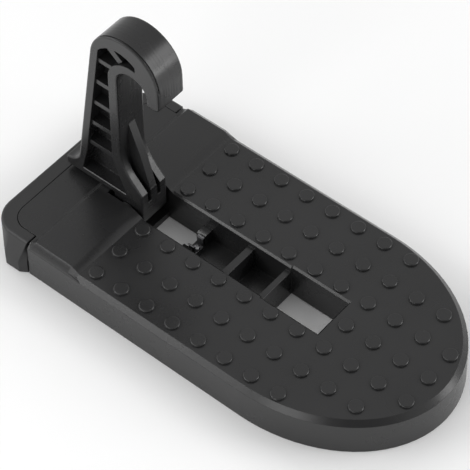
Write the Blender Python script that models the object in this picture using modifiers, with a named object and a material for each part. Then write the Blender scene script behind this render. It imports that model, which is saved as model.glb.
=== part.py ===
# Folding car door step: a studded tread plate that hangs on a door striker by a folding hook.
# Metres, +Z up. +X runs to the round front end, the part is symmetric about Y = 0,
# and the origin is on the ground, midway along the length. The hook arm stands upright at rest
# and folds forwards about the hinge pin, into the slot of the tread.

import math

import bmesh
import bpy
from mathutils import Matrix

# Gaps
SEAT_GAP = 0.0003             # between pieces that touch
RUNNING_GAP = 0.0003          # between the pin and its bores

# Tread plate
OVERALL_LENGTH = 0.1917
TREAD_WIDTH = 0.0968          # across the foot of the side walls
TREAD_HEIGHT = 0.0175
NOSE_LENGTH = 0.0617          # half-ellipse at the front
SIDE_DRAFT = 0.00035          # how far the side walls lean in
EDGE_CHAMFER = 0.0022         # broken edge round the top
DECK_THICKNESS = 0.0025
WALL_THICKNESS = 0.0028
NOSE_STEPS = 40
EDGE_STEPS = 3

# Ribs under the deck
RIB_THICKNESS = 0.0016
RIB_FOOT = 0.0015             # ribs stop this far above the ground
CROSS_RIB_PITCH = 0.0180
LONG_RIB_OFFSET = 0.0280

# Hinge plateau, raised above the tread
PLATEAU_RISE = 0.0021
PLATEAU_SETBACK = 0.0007      # from the shoulder to the foot of the rear ramp
PLATEAU_REAR_RAMP = 0.0026
PLATEAU_LENGTH = 0.01885
PLATEAU_FRONT_RAMP = 0.0039
PLATEAU_INSET = 0.0001        # the band stands this far inside the plate's faces

# Rubber bumper, a U round the tongue at the rear of the plate
BUMPER_PROUD = 0.0019         # past the side wall of the tread, at the foot
BUMPER_SIDE_WALL = 0.0082
BUMPER_REAR_WALL = 0.0070
BUMPER_BEND = 0.0060          # height up to which its faces stand upright
BUMPER_SIDE_DRAFT = 0.0032    # how far the sides lean in above the bend
BUMPER_CORNER_TOP = 0.0115    # round at the top
BUMPER_CORNER_FOOT = 0.0106   # and nearly a flat chamfer at the foot
BUMPER_CORNER_FULL = 0.15
BUMPER_EDGE_RADIUS = 0.0012
WING_LENGTH = 0.02145         # rear face to the shoulders of the plate
WING_GAP = 0.0008             # between the shoulders and the wing ends, at the top
WING_SLANT = 0.0031           # how far the wing ends slant back below that, down to the bend
TONGUE_CORNER = 0.0075
CORNER_STEPS = 8

# Studs on the tread
STUD_PITCH_X = 0.0130
STUD_PITCH_Y = 0.01368
STUD_DIAMETER = 0.0066
STUD_TAPER = 0.0003
STUD_HEIGHT = 0.0010
STUD_FROM_HINGE = 0.0133      # first row, ahead of the hinge
STUD_EDGE_MARGIN = 0.0032     # stud centres stay this far inside the flat top
STUD_SIDES = 16

# Hinge
HINGE_FROM_REAR = 0.0387
HINGE_DEPTH = 0.0038          # pin axis below the tread
PIN_DIAMETER = 0.0040
PIN_END = 0.0015              # pin past its retaining ring
PIN_CHAMFER = 0.0004
PIN_SIDES = 24
HINGE_BOSS_RADIUS = 0.0055
HINGE_BOSS_LENGTH = 0.0050
RING_RADIUS = 0.0034
RING_THICKNESS = 0.0008
RING_GROOVE = 0.0006          # groove depth in the pin
RING_OPENING_DEG = 70.0
WASHER_RADIUS = 0.0050

# Slot through the tread
SLOT_HALF_WIDTH = 0.00885
SLOT_REAR_CLEARANCE = 0.0019  # behind the hub
SLOT_WALL = 0.0025            # tub walls either side
FRONT_CELL_HALF_WIDTH = 0.0095
SLOT_CHAMFER = 0.0009
SLOT_END_CLEARANCE = 0.00055  # ahead of the folded hook
TIP_CLEARANCE = 0.0006        # between the folded hook tip and the second cross wall
STEM_CLEARANCE = 0.0005       # folded stem above the cross walls
SECOND_WALL = 0.0025
FIRST_WALL = 0.0031
FIRST_WALL_REACH = 0.0488     # from the hinge to its rear face
FLOOR_TOP = 0.0035
FLOOR_THICKNESS = 0.0020
TUB_FOOT = 0.0003             # the tub's walls stop this far above the ground
HINGE_FLOOR_REACH = 0.0069    # the floor under the hub ends this far ahead of the hinge

# Stow clip and the block that carries it, between the slot walls
BLOCK_REACH = 0.0260          # from the hinge to its rear face
BLOCK_LENGTH = 0.0043
BLOCK_DROP = 0.0037           # top of the block below the hinge axis
CLIP_SEAT_DROP = 0.0090       # clip seat below the hinge axis
CLIP_CHANNEL_HALF = 0.0038
CLIP_MIDDLE = 0.0030          # ahead of the rear face of the block
CLIP_WIDTH = 0.0032
CLIP_THICKNESS = 0.0006
CLIP_GRIP_GAP = 0.0004        # between a leaf and the fin
CLIP_LEAF_HEIGHT = 0.0047
CLIP_LIP_HEIGHT = 0.0009
CLIP_LIP_FLARE = 0.0007
CLIP_SCREW_RADIUS = 0.0007
CLIP_SCREW_HEAD_RADIUS = 0.0015
CLIP_SCREW_HEAD_HEIGHT = 0.0010
CLIP_SCREW_LENGTH = 0.0036

# Hook arm, drawn from the hinge: reach runs up the arm, forward runs to the front
ARM_WIDTH = 0.0146
ARM_EDGE = 0.0007             # rounding of the outer edges
HUB_RADIUS = 0.0077
HOOK_REACH = 0.0805           # hinge to the centre of the hook's back
HOOK_FORWARD = 0.0026
HOOK_RADIUS = 0.0169
THROAT_RADIUS = 0.0074
THROAT_DROP = 0.0065          # throat centre below the hook centre
STEM_FRONT_TOP = -0.00125     # front face of the stem, at the throat
STEM_FRONT_FOOT = -0.0024     # and above the foot
STEM_FOOT_REACH = 0.0294
TIP_DROP = 0.0098             # tip end below the hook centre
TIP_OUTER_RADIUS = 0.0017
TIP_INNER_RADIUS = 0.0010
ARM_TAPER_DEG = 9.54          # lean of the rear edge
TOE_LENGTH = 0.0078           # the toe behind the rear edge, and its fillet
TOE_HEIGHT = 0.0045
FLANGE_LOW_REACH = 0.0136     # top of the upright front of the foot
FLANGE_TOP_REACH = 0.0250     # where the line of the cheeks meets the stem
FLANGE_THICKNESS = 0.0036
CHEEK_BLEND = 0.0220          # hollow round between cheeks and stem
FIN_THICKNESS = 0.0036
FIN_LOW_REACH = 0.0142
FIN_KNEE_REACH = 0.0310
FIN_KNEE_FORWARD = 0.0031
FIN_TOP_REACH = 0.0456
FOOT_POCKET_FLOOR = 0.0076    # above the hinge axis

# Pockets in both sides of the arm
WEB_THICKNESS = 0.0032
REAR_FLANGE = 0.0039
FRONT_WALL = 0.0044
CROWN_WALL = 0.0044
CROWN_BACK = 0.0021           # the crown arc's centre, behind and below the hook centre
CROWN_DOWN = 0.0020
POCKET_NOSE_FORWARD = 0.0086
POCKET_FLOOR_REACH = 0.0096
POCKET_HEEL_REACH = 0.0220    # below here the pocket widens into the toe
POCKET_HEEL_FLARE = 0.0012
POCKET_FLOOR_FRONT = -0.0006
POCKET_KNEE_REACH = 0.0277
LADDER_FIRST_REACH = 0.0275
LADDER_LAST_DROP = 0.0014     # last rib below the hook centre
LADDER_COUNT = 5
LADDER_THICKNESS = 0.0022
LADDER_SETBACK = 0.0009       # ribs below the side faces
BRACE_RISE = 0.0069           # middle of the slanted brace above the hook centre
BRACE_FORWARD = -0.0019
BRACE_LENGTH = 0.0072
BRACE_THICKNESS = 0.0030
BRACE_ANGLE_DEG = 40.6
ARC_STEP_DEG = 7.5

# Bumper screws
SCREW_RADIUS = 0.00125
SCREW_LENGTH = 0.0070
SCREW_HEAD_RADIUS = 0.0025
SCREW_HEAD_HEIGHT = 0.0018
SCREW_HEIGHT = 0.0080         # above the ground
REAR_SCREW_OFFSET = 0.0200
WING_SCREW_FROM_REAR = 0.0157
SCREW_SIDES = 16

# Places worked out from the sizes
REAR_X = -OVERALL_LENGTH / 2
FRONT_X = OVERALL_LENGTH / 2
HALF_WIDTH = TREAD_WIDTH / 2
NOSE_X = FRONT_X - NOSE_LENGTH
SHOULDER_X = REAR_X + WING_LENGTH
TONGUE_X = REAR_X + BUMPER_REAR_WALL
TONGUE_HALF = HALF_WIDTH + BUMPER_PROUD - BUMPER_SIDE_WALL
PLATEAU_TOP = TREAD_HEIGHT + PLATEAU_RISE
HINGE_X = REAR_X + HINGE_FROM_REAR
HINGE_Z = TREAD_HEIGHT - HINGE_DEPTH
BORE_RADIUS = PIN_DIAMETER / 2 + RUNNING_GAP
ARM_HALF = ARM_WIDTH / 2
THROAT_REACH = HOOK_REACH - THROAT_DROP
THROAT_FORWARD = STEM_FRONT_TOP + THROAT_RADIUS
TIP_REACH = HOOK_REACH - TIP_DROP
TUB_HALF_WIDTH = max(SLOT_HALF_WIDTH, FRONT_CELL_HALF_WIDTH) + SLOT_WALL
SLOT_REAR_X = HINGE_X - HUB_RADIUS - SLOT_REAR_CLEARANCE
SLOT_FRONT_X = HINGE_X + math.hypot(HOOK_REACH, HOOK_FORWARD) + HOOK_RADIUS + SLOT_END_CLEARANCE
SECOND_WALL_FRONT_X = HINGE_X + TIP_REACH - TIP_CLEARANCE
SECOND_WALL_REAR_X = SECOND_WALL_FRONT_X - SECOND_WALL
FIRST_WALL_REAR_X = HINGE_X + FIRST_WALL_REACH
CROSS_WALL_TOP = HINGE_Z - STEM_FRONT_TOP - STEM_CLEARANCE
BLOCK_X = HINGE_X + BLOCK_REACH
CLIP_X = BLOCK_X + CLIP_MIDDLE
CLIP_SEAT_Z = HINGE_Z - CLIP_SEAT_DROP
HINGE_BOSS_END = TUB_HALF_WIDTH + HINGE_BOSS_LENGTH
RING_Y = HINGE_BOSS_END + SEAT_GAP
OVERLAP = 0.0006              # how far joined shapes run into each other
BEYOND = 0.0020               # how far cutters run past what they cut


def clear_scene():
    for old in list(bpy.data.objects):
        bpy.data.objects.remove(old, do_unlink=True)


def new_collection(name):
    collection = bpy.data.collections.new(name)
    bpy.context.scene.collection.children.link(collection)
    return collection


def make_material(name, colour, roughness, metallic):
    material = bpy.data.materials.new(name)
    material.use_nodes = True
    shader = material.node_tree.nodes["Principled BSDF"]
    shader.inputs["Base Color"].default_value = (*colour, 1.0)
    shader.inputs["Roughness"].default_value = roughness
    shader.inputs["Metallic"].default_value = metallic
    return material


def add_object(name, mesh, collection):
    thing = bpy.data.objects.new(name, mesh)
    collection.objects.link(thing)
    return thing


def from_bmesh(name, bm, collection):
    bmesh.ops.recalc_face_normals(bm, faces=bm.faces)
    mesh = bpy.data.meshes.new(name)
    bm.to_mesh(mesh)
    bm.free()
    return add_object(name, mesh, collection)


def box(name, low, high, collection):
    bm = bmesh.new()
    bmesh.ops.create_cube(bm, size=1.0)
    size = [b - a for a, b in zip(low, high)]
    middle = [(a + b) / 2 for a, b in zip(low, high)]
    bmesh.ops.scale(bm, vec=size, verts=bm.verts)
    bmesh.ops.translate(bm, vec=middle, verts=bm.verts)
    return from_bmesh(name, bm, collection)


def rod(name, radius, start, end, axis, centre, sides, collection):
    """A round bar along X, Y or Z, from start to end on that axis, through centre."""
    bm = bmesh.new()
    bmesh.ops.create_cone(bm, cap_ends=True, segments=sides, radius1=radius, radius2=radius, depth=end - start)
    turn = {"X": Matrix.Rotation(math.pi / 2, 4, "Y"),
            "Y": Matrix.Rotation(-math.pi / 2, 4, "X"),
            "Z": Matrix.Identity(4)}[axis]
    place = list(centre)
    place["XYZ".index(axis)] = (start + end) / 2
    bmesh.ops.transform(bm, matrix=Matrix.Translation(place) @ turn, verts=bm.verts)
    return from_bmesh(name, bm, collection)


def stack(name, rings, collection):
    """A solid skinned over closed rings that have as many points each."""
    bm = bmesh.new()
    loops = []
    for ring in rings:
        verts = [bm.verts.new(point) for point in ring]
        edges = [bm.edges.new((verts[i - 1], verts[i])) for i in range(len(verts))]
        loops.append((verts, edges))
    for (lower, _), (upper, _) in zip(loops, loops[1:]):
        for i in range(len(lower)):
            bm.faces.new((lower[i - 1], lower[i], upper[i], upper[i - 1]))
    bm.faces.new(loops[0][0])
    bm.faces.new(loops[-1][0])
    return from_bmesh(name, bm, collection)


def side_plate(name, outline, thickness, middle_y, collection):
    """A flat plate with a side-view outline of (x, z) points, thick along Y."""
    curve = bpy.data.curves.new(name, "CURVE")
    curve.dimensions = "2D"
    curve.fill_mode = "BOTH"
    curve.extrude = thickness / 2
    spline = curve.splines.new("POLY")
    spline.points.add(len(outline) - 1)
    for point, (x, z) in zip(spline.points, outline):
        point.co = (x, z, 0.0, 1.0)
    spline.use_cyclic_u = True
    flat = add_object(name + "_outline", curve, collection)
    flat.matrix_world = Matrix.Translation((0, middle_y, 0)) @ Matrix.Rotation(math.pi / 2, 4, "X")
    bpy.context.view_layer.update()
    evaluated = flat.evaluated_get(bpy.context.evaluated_depsgraph_get())
    mesh = bpy.data.meshes.new_from_object(evaluated)
    mesh.name = name
    solid = add_object(name, mesh, collection)
    solid.matrix_world = flat.matrix_world
    bpy.data.objects.remove(flat)
    bm = bmesh.new()
    bm.from_mesh(mesh)
    bmesh.ops.remove_doubles(bm, verts=bm.verts, dist=0.00001)
    bmesh.ops.transform(bm, matrix=solid.matrix_world, verts=bm.verts)
    bmesh.ops.dissolve_limit(bm, angle_limit=0.001, verts=bm.verts, edges=bm.edges)
    bmesh.ops.recalc_face_normals(bm, faces=bm.faces)
    bm.to_mesh(mesh)
    bm.free()
    solid.matrix_world = Matrix.Identity(4)
    return solid


def turned(name, profile, axis_turn, centre, sides, collection):
    """A turned piece: profile points (radius, height) run from top to bottom."""
    mesh = bpy.data.meshes.new(name)
    mesh.from_pydata([(r, 0.0, h) for r, h in profile], [(i, i + 1) for i in range(len(profile) - 1)], [])
    piece = add_object(name, mesh, collection)
    screw = piece.modifiers.new("Turn", "SCREW")
    screw.steps = sides
    screw.render_steps = sides
    screw.use_merge_vertices = True
    screw.merge_threshold = 0.00001
    piece.matrix_world = Matrix.Translation(centre) @ axis_turn
    return piece


def boolean(target, other, operation):
    modifier = target.modifiers.new(operation.title() + "_" + other.name, "BOOLEAN")
    modifier.operation = operation
    modifier.solver = "EXACT"
    modifier.object = other
    other.hide_render = True
    other.display_type = "WIRE"


def cut(target, *others):
    for other in others:
        boolean(target, other, "DIFFERENCE")


def join(target, *others):
    for other in others:
        boolean(target, other, "UNION")


def arc(centre, radius, start_deg, end_deg):
    """Points on an arc, both ends included."""
    steps = max(2, round(abs(end_deg - start_deg) / ARC_STEP_DEG))
    angles = [math.radians(start_deg + (end_deg - start_deg) * i / steps) for i in range(steps + 1)]
    return [(centre[0] + radius * math.cos(a), centre[1] + radius * math.sin(a)) for a in angles]


# Tread plate

def tongue_corner(side, inset):
    """The rounded rear corner of the tongue, from its rear end round to its side."""
    radius = TONGUE_CORNER - inset
    centre_x = TONGUE_X + TONGUE_CORNER
    centre_y = TONGUE_HALF - TONGUE_CORNER
    points = []
    for i in range(CORNER_STEPS + 1):
        angle = math.radians(90 * i / CORNER_STEPS)
        points.append((centre_x - radius * math.cos(angle), side * (centre_y + radius * math.sin(angle))))
    return points


def tread_ring(z, inset, wall=0.0):
    """The plan outline of the plate at height z: nose, sides, shoulders and tongue."""
    width = HALF_WIDTH - inset - wall
    nose = NOSE_LENGTH - inset - wall
    step = SHOULDER_X + wall
    ring = []
    for i in range(NOSE_STEPS + 1):
        angle = math.radians(-90 + 180 * i / NOSE_STEPS)
        ring.append((NOSE_X + nose * math.cos(angle), width * math.sin(angle), z))
    ring.append((step, width, z))
    ring.append((step, TONGUE_HALF - wall, z))
    ring += [(x, y, z) for x, y in reversed(tongue_corner(1, wall))]
    ring += [(x, y, z) for x, y in tongue_corner(-1, wall)]
    ring.append((step, -(TONGUE_HALF - wall), z))
    ring.append((step, -width, z))
    return ring


def tread_body(parts):
    rings = [tread_ring(0.0, 0.0), tread_ring(TREAD_HEIGHT - EDGE_CHAMFER, SIDE_DRAFT),
             tread_ring(TREAD_HEIGHT, SIDE_DRAFT + EDGE_CHAMFER)]
    return stack("tread_plate", rings, parts)


def plateau(cutters):
    """The raised band across the plate, its ramps run on down into the broken edge."""
    rear = SHOULDER_X + PLATEAU_SETBACK
    top_rear = rear + PLATEAU_REAR_RAMP
    top_front = top_rear + PLATEAU_LENGTH
    front = top_front + PLATEAU_FRONT_RAMP
    run_on = EDGE_CHAMFER * PLATEAU_FRONT_RAMP / PLATEAU_RISE
    start = SHOULDER_X + PLATEAU_INSET
    drop = (rear - start) * PLATEAU_RISE / PLATEAU_REAR_RAMP
    root = TREAD_HEIGHT - EDGE_CHAMFER - OVERLAP
    outline = [(start, root), (front + run_on, root), (front + run_on, TREAD_HEIGHT - EDGE_CHAMFER),
               (top_front, PLATEAU_TOP), (top_rear, PLATEAU_TOP), (start, TREAD_HEIGHT - drop)]
    width = 2 * (HALF_WIDTH - SIDE_DRAFT - PLATEAU_INSET)
    band = side_plate("plateau_band", outline, width, 0.0, cutters)
    bm = bmesh.new()
    bm.from_mesh(band.data)
    limit = width / 2 - 0.00001
    rims = [e for e in bm.edges
            if all(abs(v.co.y) > limit and v.co.z > root + OVERLAP / 2 for v in e.verts)
            and abs(e.verts[0].co.x - e.verts[1].co.x) > 0.0001]
    bmesh.ops.bevel(bm, geom=rims, offset=EDGE_CHAMFER, segments=1, affect="EDGES")
    bm.to_mesh(band.data)
    bm.free()
    return band


def half_width_at(x, wall):
    """Half the width of the plate at x, measured to a wall's depth inside it."""
    if x < SHOULDER_X + WALL_THICKNESS:
        return TONGUE_HALF - wall
    if x < NOSE_X:
        return HALF_WIDTH - SIDE_DRAFT - wall
    along = (x - NOSE_X) / (NOSE_LENGTH - SIDE_DRAFT - wall)
    return (HALF_WIDTH - SIDE_DRAFT - wall) * math.sqrt(max(0.0, 1 - along * along))


def underside_ribs(cutters):
    """Cross ribs at one pitch from the hinge, a long rib along each side and one in the nose."""
    top = TREAD_HEIGHT - DECK_THICKNESS + OVERLAP
    bite = WALL_THICKNESS / 2
    ribs = []
    first = math.ceil((TONGUE_X + WALL_THICKNESS + RIB_THICKNESS - HINGE_X) / CROSS_RIB_PITCH)
    last = math.floor((FRONT_X - 2 * WALL_THICKNESS - RIB_THICKNESS - HINGE_X) / CROSS_RIB_PITCH)
    for i in range(first, last + 1):
        x = HINGE_X + i * CROSS_RIB_PITCH
        half = min(half_width_at(x + RIB_THICKNESS, bite), half_width_at(x - RIB_THICKNESS, bite))
        ribs.append(box(f"cross_rib_{i - first}", (x - RIB_THICKNESS / 2, -half, RIB_FOOT),
                        (x + RIB_THICKNESS / 2, half, top), cutters))
    reach = LONG_RIB_OFFSET / (HALF_WIDTH - SIDE_DRAFT - bite)
    end = NOSE_X + (NOSE_LENGTH - SIDE_DRAFT - bite) * math.sqrt(1 - reach * reach) - RIB_THICKNESS
    for side in (-1, 1):
        y = side * LONG_RIB_OFFSET
        ribs.append(box(f"long_rib_{'right' if side < 0 else 'left'}",
                        (TONGUE_X + bite, y - RIB_THICKNESS / 2, RIB_FOOT + OVERLAP / 2),
                        (end, y + RIB_THICKNESS / 2, top + OVERLAP / 2), cutters))
    ribs.append(box("nose_rib", (SLOT_FRONT_X + SLOT_WALL / 2, -RIB_THICKNESS / 2, RIB_FOOT + OVERLAP / 2),
                    (FRONT_X - SIDE_DRAFT - bite, RIB_THICKNESS / 2, top + OVERLAP / 2), cutters))
    return ribs


def slot_tub(cutters):
    """The block under the deck that the slot's cells are cut from."""
    return box("slot_tub", (SLOT_REAR_X - SLOT_WALL, -TUB_HALF_WIDTH, TUB_FOOT),
               (SLOT_FRONT_X + SLOT_WALL, TUB_HALF_WIDTH, TREAD_HEIGHT - DECK_THICKNESS / 2), cutters)


def hinge_bosses(cutters):
    bosses = []
    for side, name in ((-1, "right"), (1, "left")):
        near, far = TUB_HALF_WIDTH - OVERLAP, HINGE_BOSS_END
        start, end = (near, far) if side > 0 else (-far, -near)
        bosses.append(rod(f"hinge_boss_{name}", HINGE_BOSS_RADIUS, start, end, "Y",
                          (HINGE_X, 0, HINGE_Z), PIN_SIDES, cutters))
    return bosses


def ring_pockets(cutters):
    """Room under the plateau for the retaining rings on the pin."""
    pockets = []
    reach = RING_RADIUS + 2 * SEAT_GAP
    for side, name in ((-1, "right"), (1, "left")):
        near = HINGE_BOSS_END
        far = RING_Y + RING_THICKNESS + PIN_END + BEYOND
        ys = (near, far) if side > 0 else (-far, -near)
        pockets.append(box(f"ring_pocket_{name}", (HINGE_X - reach, ys[0], RIB_FOOT - BEYOND),
                           (HINGE_X + reach, ys[1], HINGE_Z + reach), cutters))
    return pockets


def slot_cells(cutters):
    """The slot's cells: two run right through, the others keep a floor with a hollow under it."""
    above = PLATEAU_TOP + BEYOND
    hinge_floor_x = HINGE_X + HINGE_FLOOR_REACH
    hinge = box("hinge_cell", (SLOT_REAR_X, -SLOT_HALF_WIDTH, FLOOR_TOP),
                (hinge_floor_x + OVERLAP, SLOT_HALF_WIDTH, above), cutters)
    rear = box("rear_cell", (hinge_floor_x, -SLOT_HALF_WIDTH, -BEYOND), (BLOCK_X, SLOT_HALF_WIDTH, above), cutters)
    middle = box("middle_cell", (BLOCK_X - OVERLAP, -SLOT_HALF_WIDTH, FLOOR_TOP),
                 (FIRST_WALL_REAR_X, SLOT_HALF_WIDTH, above), cutters)
    small = box("small_cell", (FIRST_WALL_REAR_X + FIRST_WALL, -SLOT_HALF_WIDTH, FLOOR_TOP),
                (SECOND_WALL_REAR_X, SLOT_HALF_WIDTH, above), cutters)
    front = box("front_cell", (SECOND_WALL_FRONT_X, -FRONT_CELL_HALF_WIDTH, -BEYOND),
                (SLOT_FRONT_X, FRONT_CELL_HALF_WIDTH, above), cutters)
    over = box("over_walls", (FIRST_WALL_REAR_X - OVERLAP, -SLOT_HALF_WIDTH, CROSS_WALL_TOP),
               (SECOND_WALL_FRONT_X + OVERLAP, SLOT_HALF_WIDTH, above), cutters)
    under = FLOOR_TOP - FLOOR_THICKNESS
    under_hinge = box("under_hinge", (SLOT_REAR_X, -SLOT_HALF_WIDTH, -BEYOND),
                      (hinge_floor_x - SLOT_WALL, SLOT_HALF_WIDTH, under), cutters)
    under_middle = box("under_middle", (BLOCK_X + BLOCK_LENGTH, -SLOT_HALF_WIDTH, -BEYOND),
                       (FIRST_WALL_REAR_X, SLOT_HALF_WIDTH, under), cutters)
    under_small = box("under_small", (FIRST_WALL_REAR_X + FIRST_WALL, -SLOT_HALF_WIDTH, -BEYOND),
                      (SECOND_WALL_REAR_X, SLOT_HALF_WIDTH, under), cutters)
    return [hinge, rear, middle, small, front, over, under_hinge, under_middle, under_small]


def slot_chamfer(name, rear, front, half, cutters):
    """A wedge that breaks the slot's top edges."""
    def ring(z, grow):
        return [(rear, -half - grow, z), (front + grow, -half - grow, z),
                (front + grow, half + grow, z), (rear, half + grow, z)]
    low = TREAD_HEIGHT - SLOT_CHAMFER
    return stack(name, [ring(low, 0.0), ring(TREAD_HEIGHT + SLOT_CHAMFER, 2 * SLOT_CHAMFER)], cutters)


def clip_block(cutters):
    """The block between the slot walls, with its channel for the stow clip."""
    root = TUB_FOOT + OVERLAP
    side = SLOT_HALF_WIDTH + SLOT_WALL / 2
    block = box("clip_block", (BLOCK_X, -side, root), (BLOCK_X + BLOCK_LENGTH, side, HINGE_Z - BLOCK_DROP), cutters)
    channel = box("clip_channel", (BLOCK_X - BEYOND, -CLIP_CHANNEL_HALF, CLIP_SEAT_Z),
                  (BLOCK_X + BLOCK_LENGTH + BEYOND, CLIP_CHANNEL_HALF, HINGE_Z), cutters)
    hole = rod("clip_screw_hole", CLIP_SCREW_RADIUS + SEAT_GAP, -BEYOND, CLIP_SEAT_Z + BEYOND, "Z",
               (CLIP_X, 0, 0), SCREW_SIDES, cutters)
    return block, channel, hole


def studs(cutters):
    """Studs on a grid, kept inside the flat top and off the slot."""
    bm = bmesh.new()
    radius = STUD_DIAMETER / 2
    nose = NOSE_LENGTH - SIDE_DRAFT - EDGE_CHAMFER - STUD_EDGE_MARGIN
    half = HALF_WIDTH - SIDE_DRAFT - EDGE_CHAMFER - STUD_EDGE_MARGIN
    first_x = HINGE_X + STUD_FROM_HINGE
    rows = int(half / STUD_PITCH_Y)
    columns = int((NOSE_X + nose - first_x) / STUD_PITCH_X) + 1
    for row in range(-rows, rows + 1):
        for column in range(columns):
            x = first_x + column * STUD_PITCH_X
            y = row * STUD_PITCH_Y
            past_side = max(0.0, (x - NOSE_X) / nose)
            if past_side ** 2 + (y / half) ** 2 > 1:
                continue
            if abs(y) - radius < FRONT_CELL_HALF_WIDTH and x - radius < SLOT_FRONT_X:
                continue
            depth = STUD_HEIGHT + OVERLAP
            place = Matrix.Translation((x, y, TREAD_HEIGHT - OVERLAP + depth / 2))
            bmesh.ops.create_cone(bm, cap_ends=True, segments=STUD_SIDES, radius1=radius,
                                  radius2=radius - STUD_TAPER, depth=depth, matrix=place)
    return from_bmesh("stud_field", bm, cutters)


def screw_places():
    """Each bumper screw: name, axis, sign along it, seat under the head, and centre."""
    rear_seat = TONGUE_X + WALL_THICKNESS
    side_seat = TONGUE_HALF - WALL_THICKNESS
    wing_x = REAR_X + WING_SCREW_FROM_REAR
    return [("bumper_screw_rear_right", "X", -1, rear_seat, (0, -REAR_SCREW_OFFSET, SCREW_HEIGHT)),
            ("bumper_screw_rear_left", "X", -1, rear_seat, (0, REAR_SCREW_OFFSET, SCREW_HEIGHT)),
            ("bumper_screw_wing_right", "Y", -1, -side_seat, (wing_x, 0, SCREW_HEIGHT)),
            ("bumper_screw_wing_left", "Y", 1, side_seat, (wing_x, 0, SCREW_HEIGHT))]


def screw_holes(target_name, depth, cutters):
    """Clearance holes along the bumper screws, from under the head to a depth."""
    holes = []
    for name, axis, sign, seat, centre in screw_places():
        inner, outer = seat - sign * BEYOND, seat + sign * depth
        holes.append(rod(f"{target_name}_hole_{name[13:]}", SCREW_RADIUS + SEAT_GAP, min(inner, outer),
                         max(inner, outer), axis, centre, SCREW_SIDES, cutters))
    return holes


def make_tread_plate(parts, cutters):
    plate = tread_body(parts)
    join(plate, plateau(cutters))
    ceiling = TREAD_HEIGHT - DECK_THICKNESS
    cavity = stack("underside_cavity", [tread_ring(-BEYOND, 0.0, WALL_THICKNESS),
                                        tread_ring(ceiling, SIDE_DRAFT, WALL_THICKNESS)], cutters)
    cut(plate, cavity)
    join(plate, slot_tub(cutters), *underside_ribs(cutters), *hinge_bosses(cutters))
    cut(plate, *slot_cells(cutters))
    ramp_front = SHOULDER_X + PLATEAU_SETBACK + PLATEAU_REAR_RAMP + PLATEAU_LENGTH + PLATEAU_FRONT_RAMP
    chamfer_rear = ramp_front + OVERLAP
    cut(plate, slot_chamfer("slot_chamfer", chamfer_rear, SECOND_WALL_FRONT_X, SLOT_HALF_WIDTH, cutters),
        slot_chamfer("cell_chamfer", SECOND_WALL_FRONT_X, SLOT_FRONT_X, FRONT_CELL_HALF_WIDTH, cutters))
    block, channel, hole = clip_block(cutters)
    join(plate, block)
    cut(plate, channel, hole, *ring_pockets(cutters))
    cut(plate, rod("pin_bore", BORE_RADIUS, -HINGE_BOSS_END - BEYOND, HINGE_BOSS_END + BEYOND, "Y",
                   (HINGE_X, 0, HINGE_Z), PIN_SIDES, cutters))
    cut(plate, *screw_holes("plate", WALL_THICKNESS + BEYOND, cutters))
    join(plate, studs(cutters))
    return plate


# Bumper

def bumper_ring(z, inset):
    """The U outline of the bumper at height z, round its outside and back along the tongue."""
    rise = max(0.0, (z - BUMPER_BEND) / (TREAD_HEIGHT - BUMPER_BEND))
    half = HALF_WIDTH + BUMPER_PROUD - BUMPER_SIDE_DRAFT * rise - inset
    rear = REAR_X + inset
    front = SHOULDER_X - WING_GAP
    outer_front = front - WING_SLANT * (1 - rise)
    radius = BUMPER_CORNER_FOOT + (BUMPER_CORNER_TOP - BUMPER_CORNER_FOOT) * rise - inset
    full = BUMPER_CORNER_FULL + (1 - BUMPER_CORNER_FULL) * rise
    outer = []
    for i in range(CORNER_STEPS + 1):
        share = i / CORNER_STEPS
        angle = math.radians(90 * share)
        back = (1 - full) * (1 - share) + full * (1 - math.sin(angle))
        side = (1 - full) * share + full * (1 - math.cos(angle))
        outer.append((rear + radius * back, half - radius * side))
    inner = tongue_corner(1, -SEAT_GAP)
    left = [(front, half - BUMPER_PROUD), (outer_front, half)] + outer
    left_inner = inner + [(front, TONGUE_HALF + SEAT_GAP)]
    ring = [(x, y, z) for x, y in left]
    ring += [(x, -y, z) for x, y in reversed(left)]
    ring += [(x, -y, z) for x, y in reversed(left_inner)]
    ring += [(x, y, z) for x, y in left_inner]
    return ring


def make_bumper(parts, cutters):
    rings = [bumper_ring(0.0, 0.0), bumper_ring(BUMPER_BEND, 0.0)]
    for i in range(EDGE_STEPS + 1):
        angle = math.radians(90 * i / EDGE_STEPS)
        height = TREAD_HEIGHT - BUMPER_EDGE_RADIUS * (1 - math.sin(angle))
        rings.append(bumper_ring(height, BUMPER_EDGE_RADIUS * (1 - math.cos(angle))))
    bumper = stack("end_bumper", rings, parts)
    cut(bumper, *screw_holes("bumper", SCREW_LENGTH + SEAT_GAP, cutters))
    return bumper


# Hook arm

def arm_point(forward, reach):
    return (HINGE_X + forward, HINGE_Z + reach)


def rear_edge(reach, inset=0.0):
    """How far forward the arm's rear edge is at a reach, or a line set inside it."""
    lean = math.radians(ARM_TAPER_DEG)
    radius = HOOK_RADIUS - inset
    touch_forward = HOOK_FORWARD - radius * math.cos(lean)
    touch_reach = HOOK_REACH + radius * math.sin(lean)
    return touch_forward - (touch_reach - reach) * math.tan(lean)


def stem_front(reach):
    """The front face of the stem, straight from the throat down to the foot and on."""
    slope = (STEM_FRONT_TOP - STEM_FRONT_FOOT) / (THROAT_REACH - STEM_FOOT_REACH)
    return STEM_FRONT_TOP - (THROAT_REACH - reach) * slope


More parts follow.
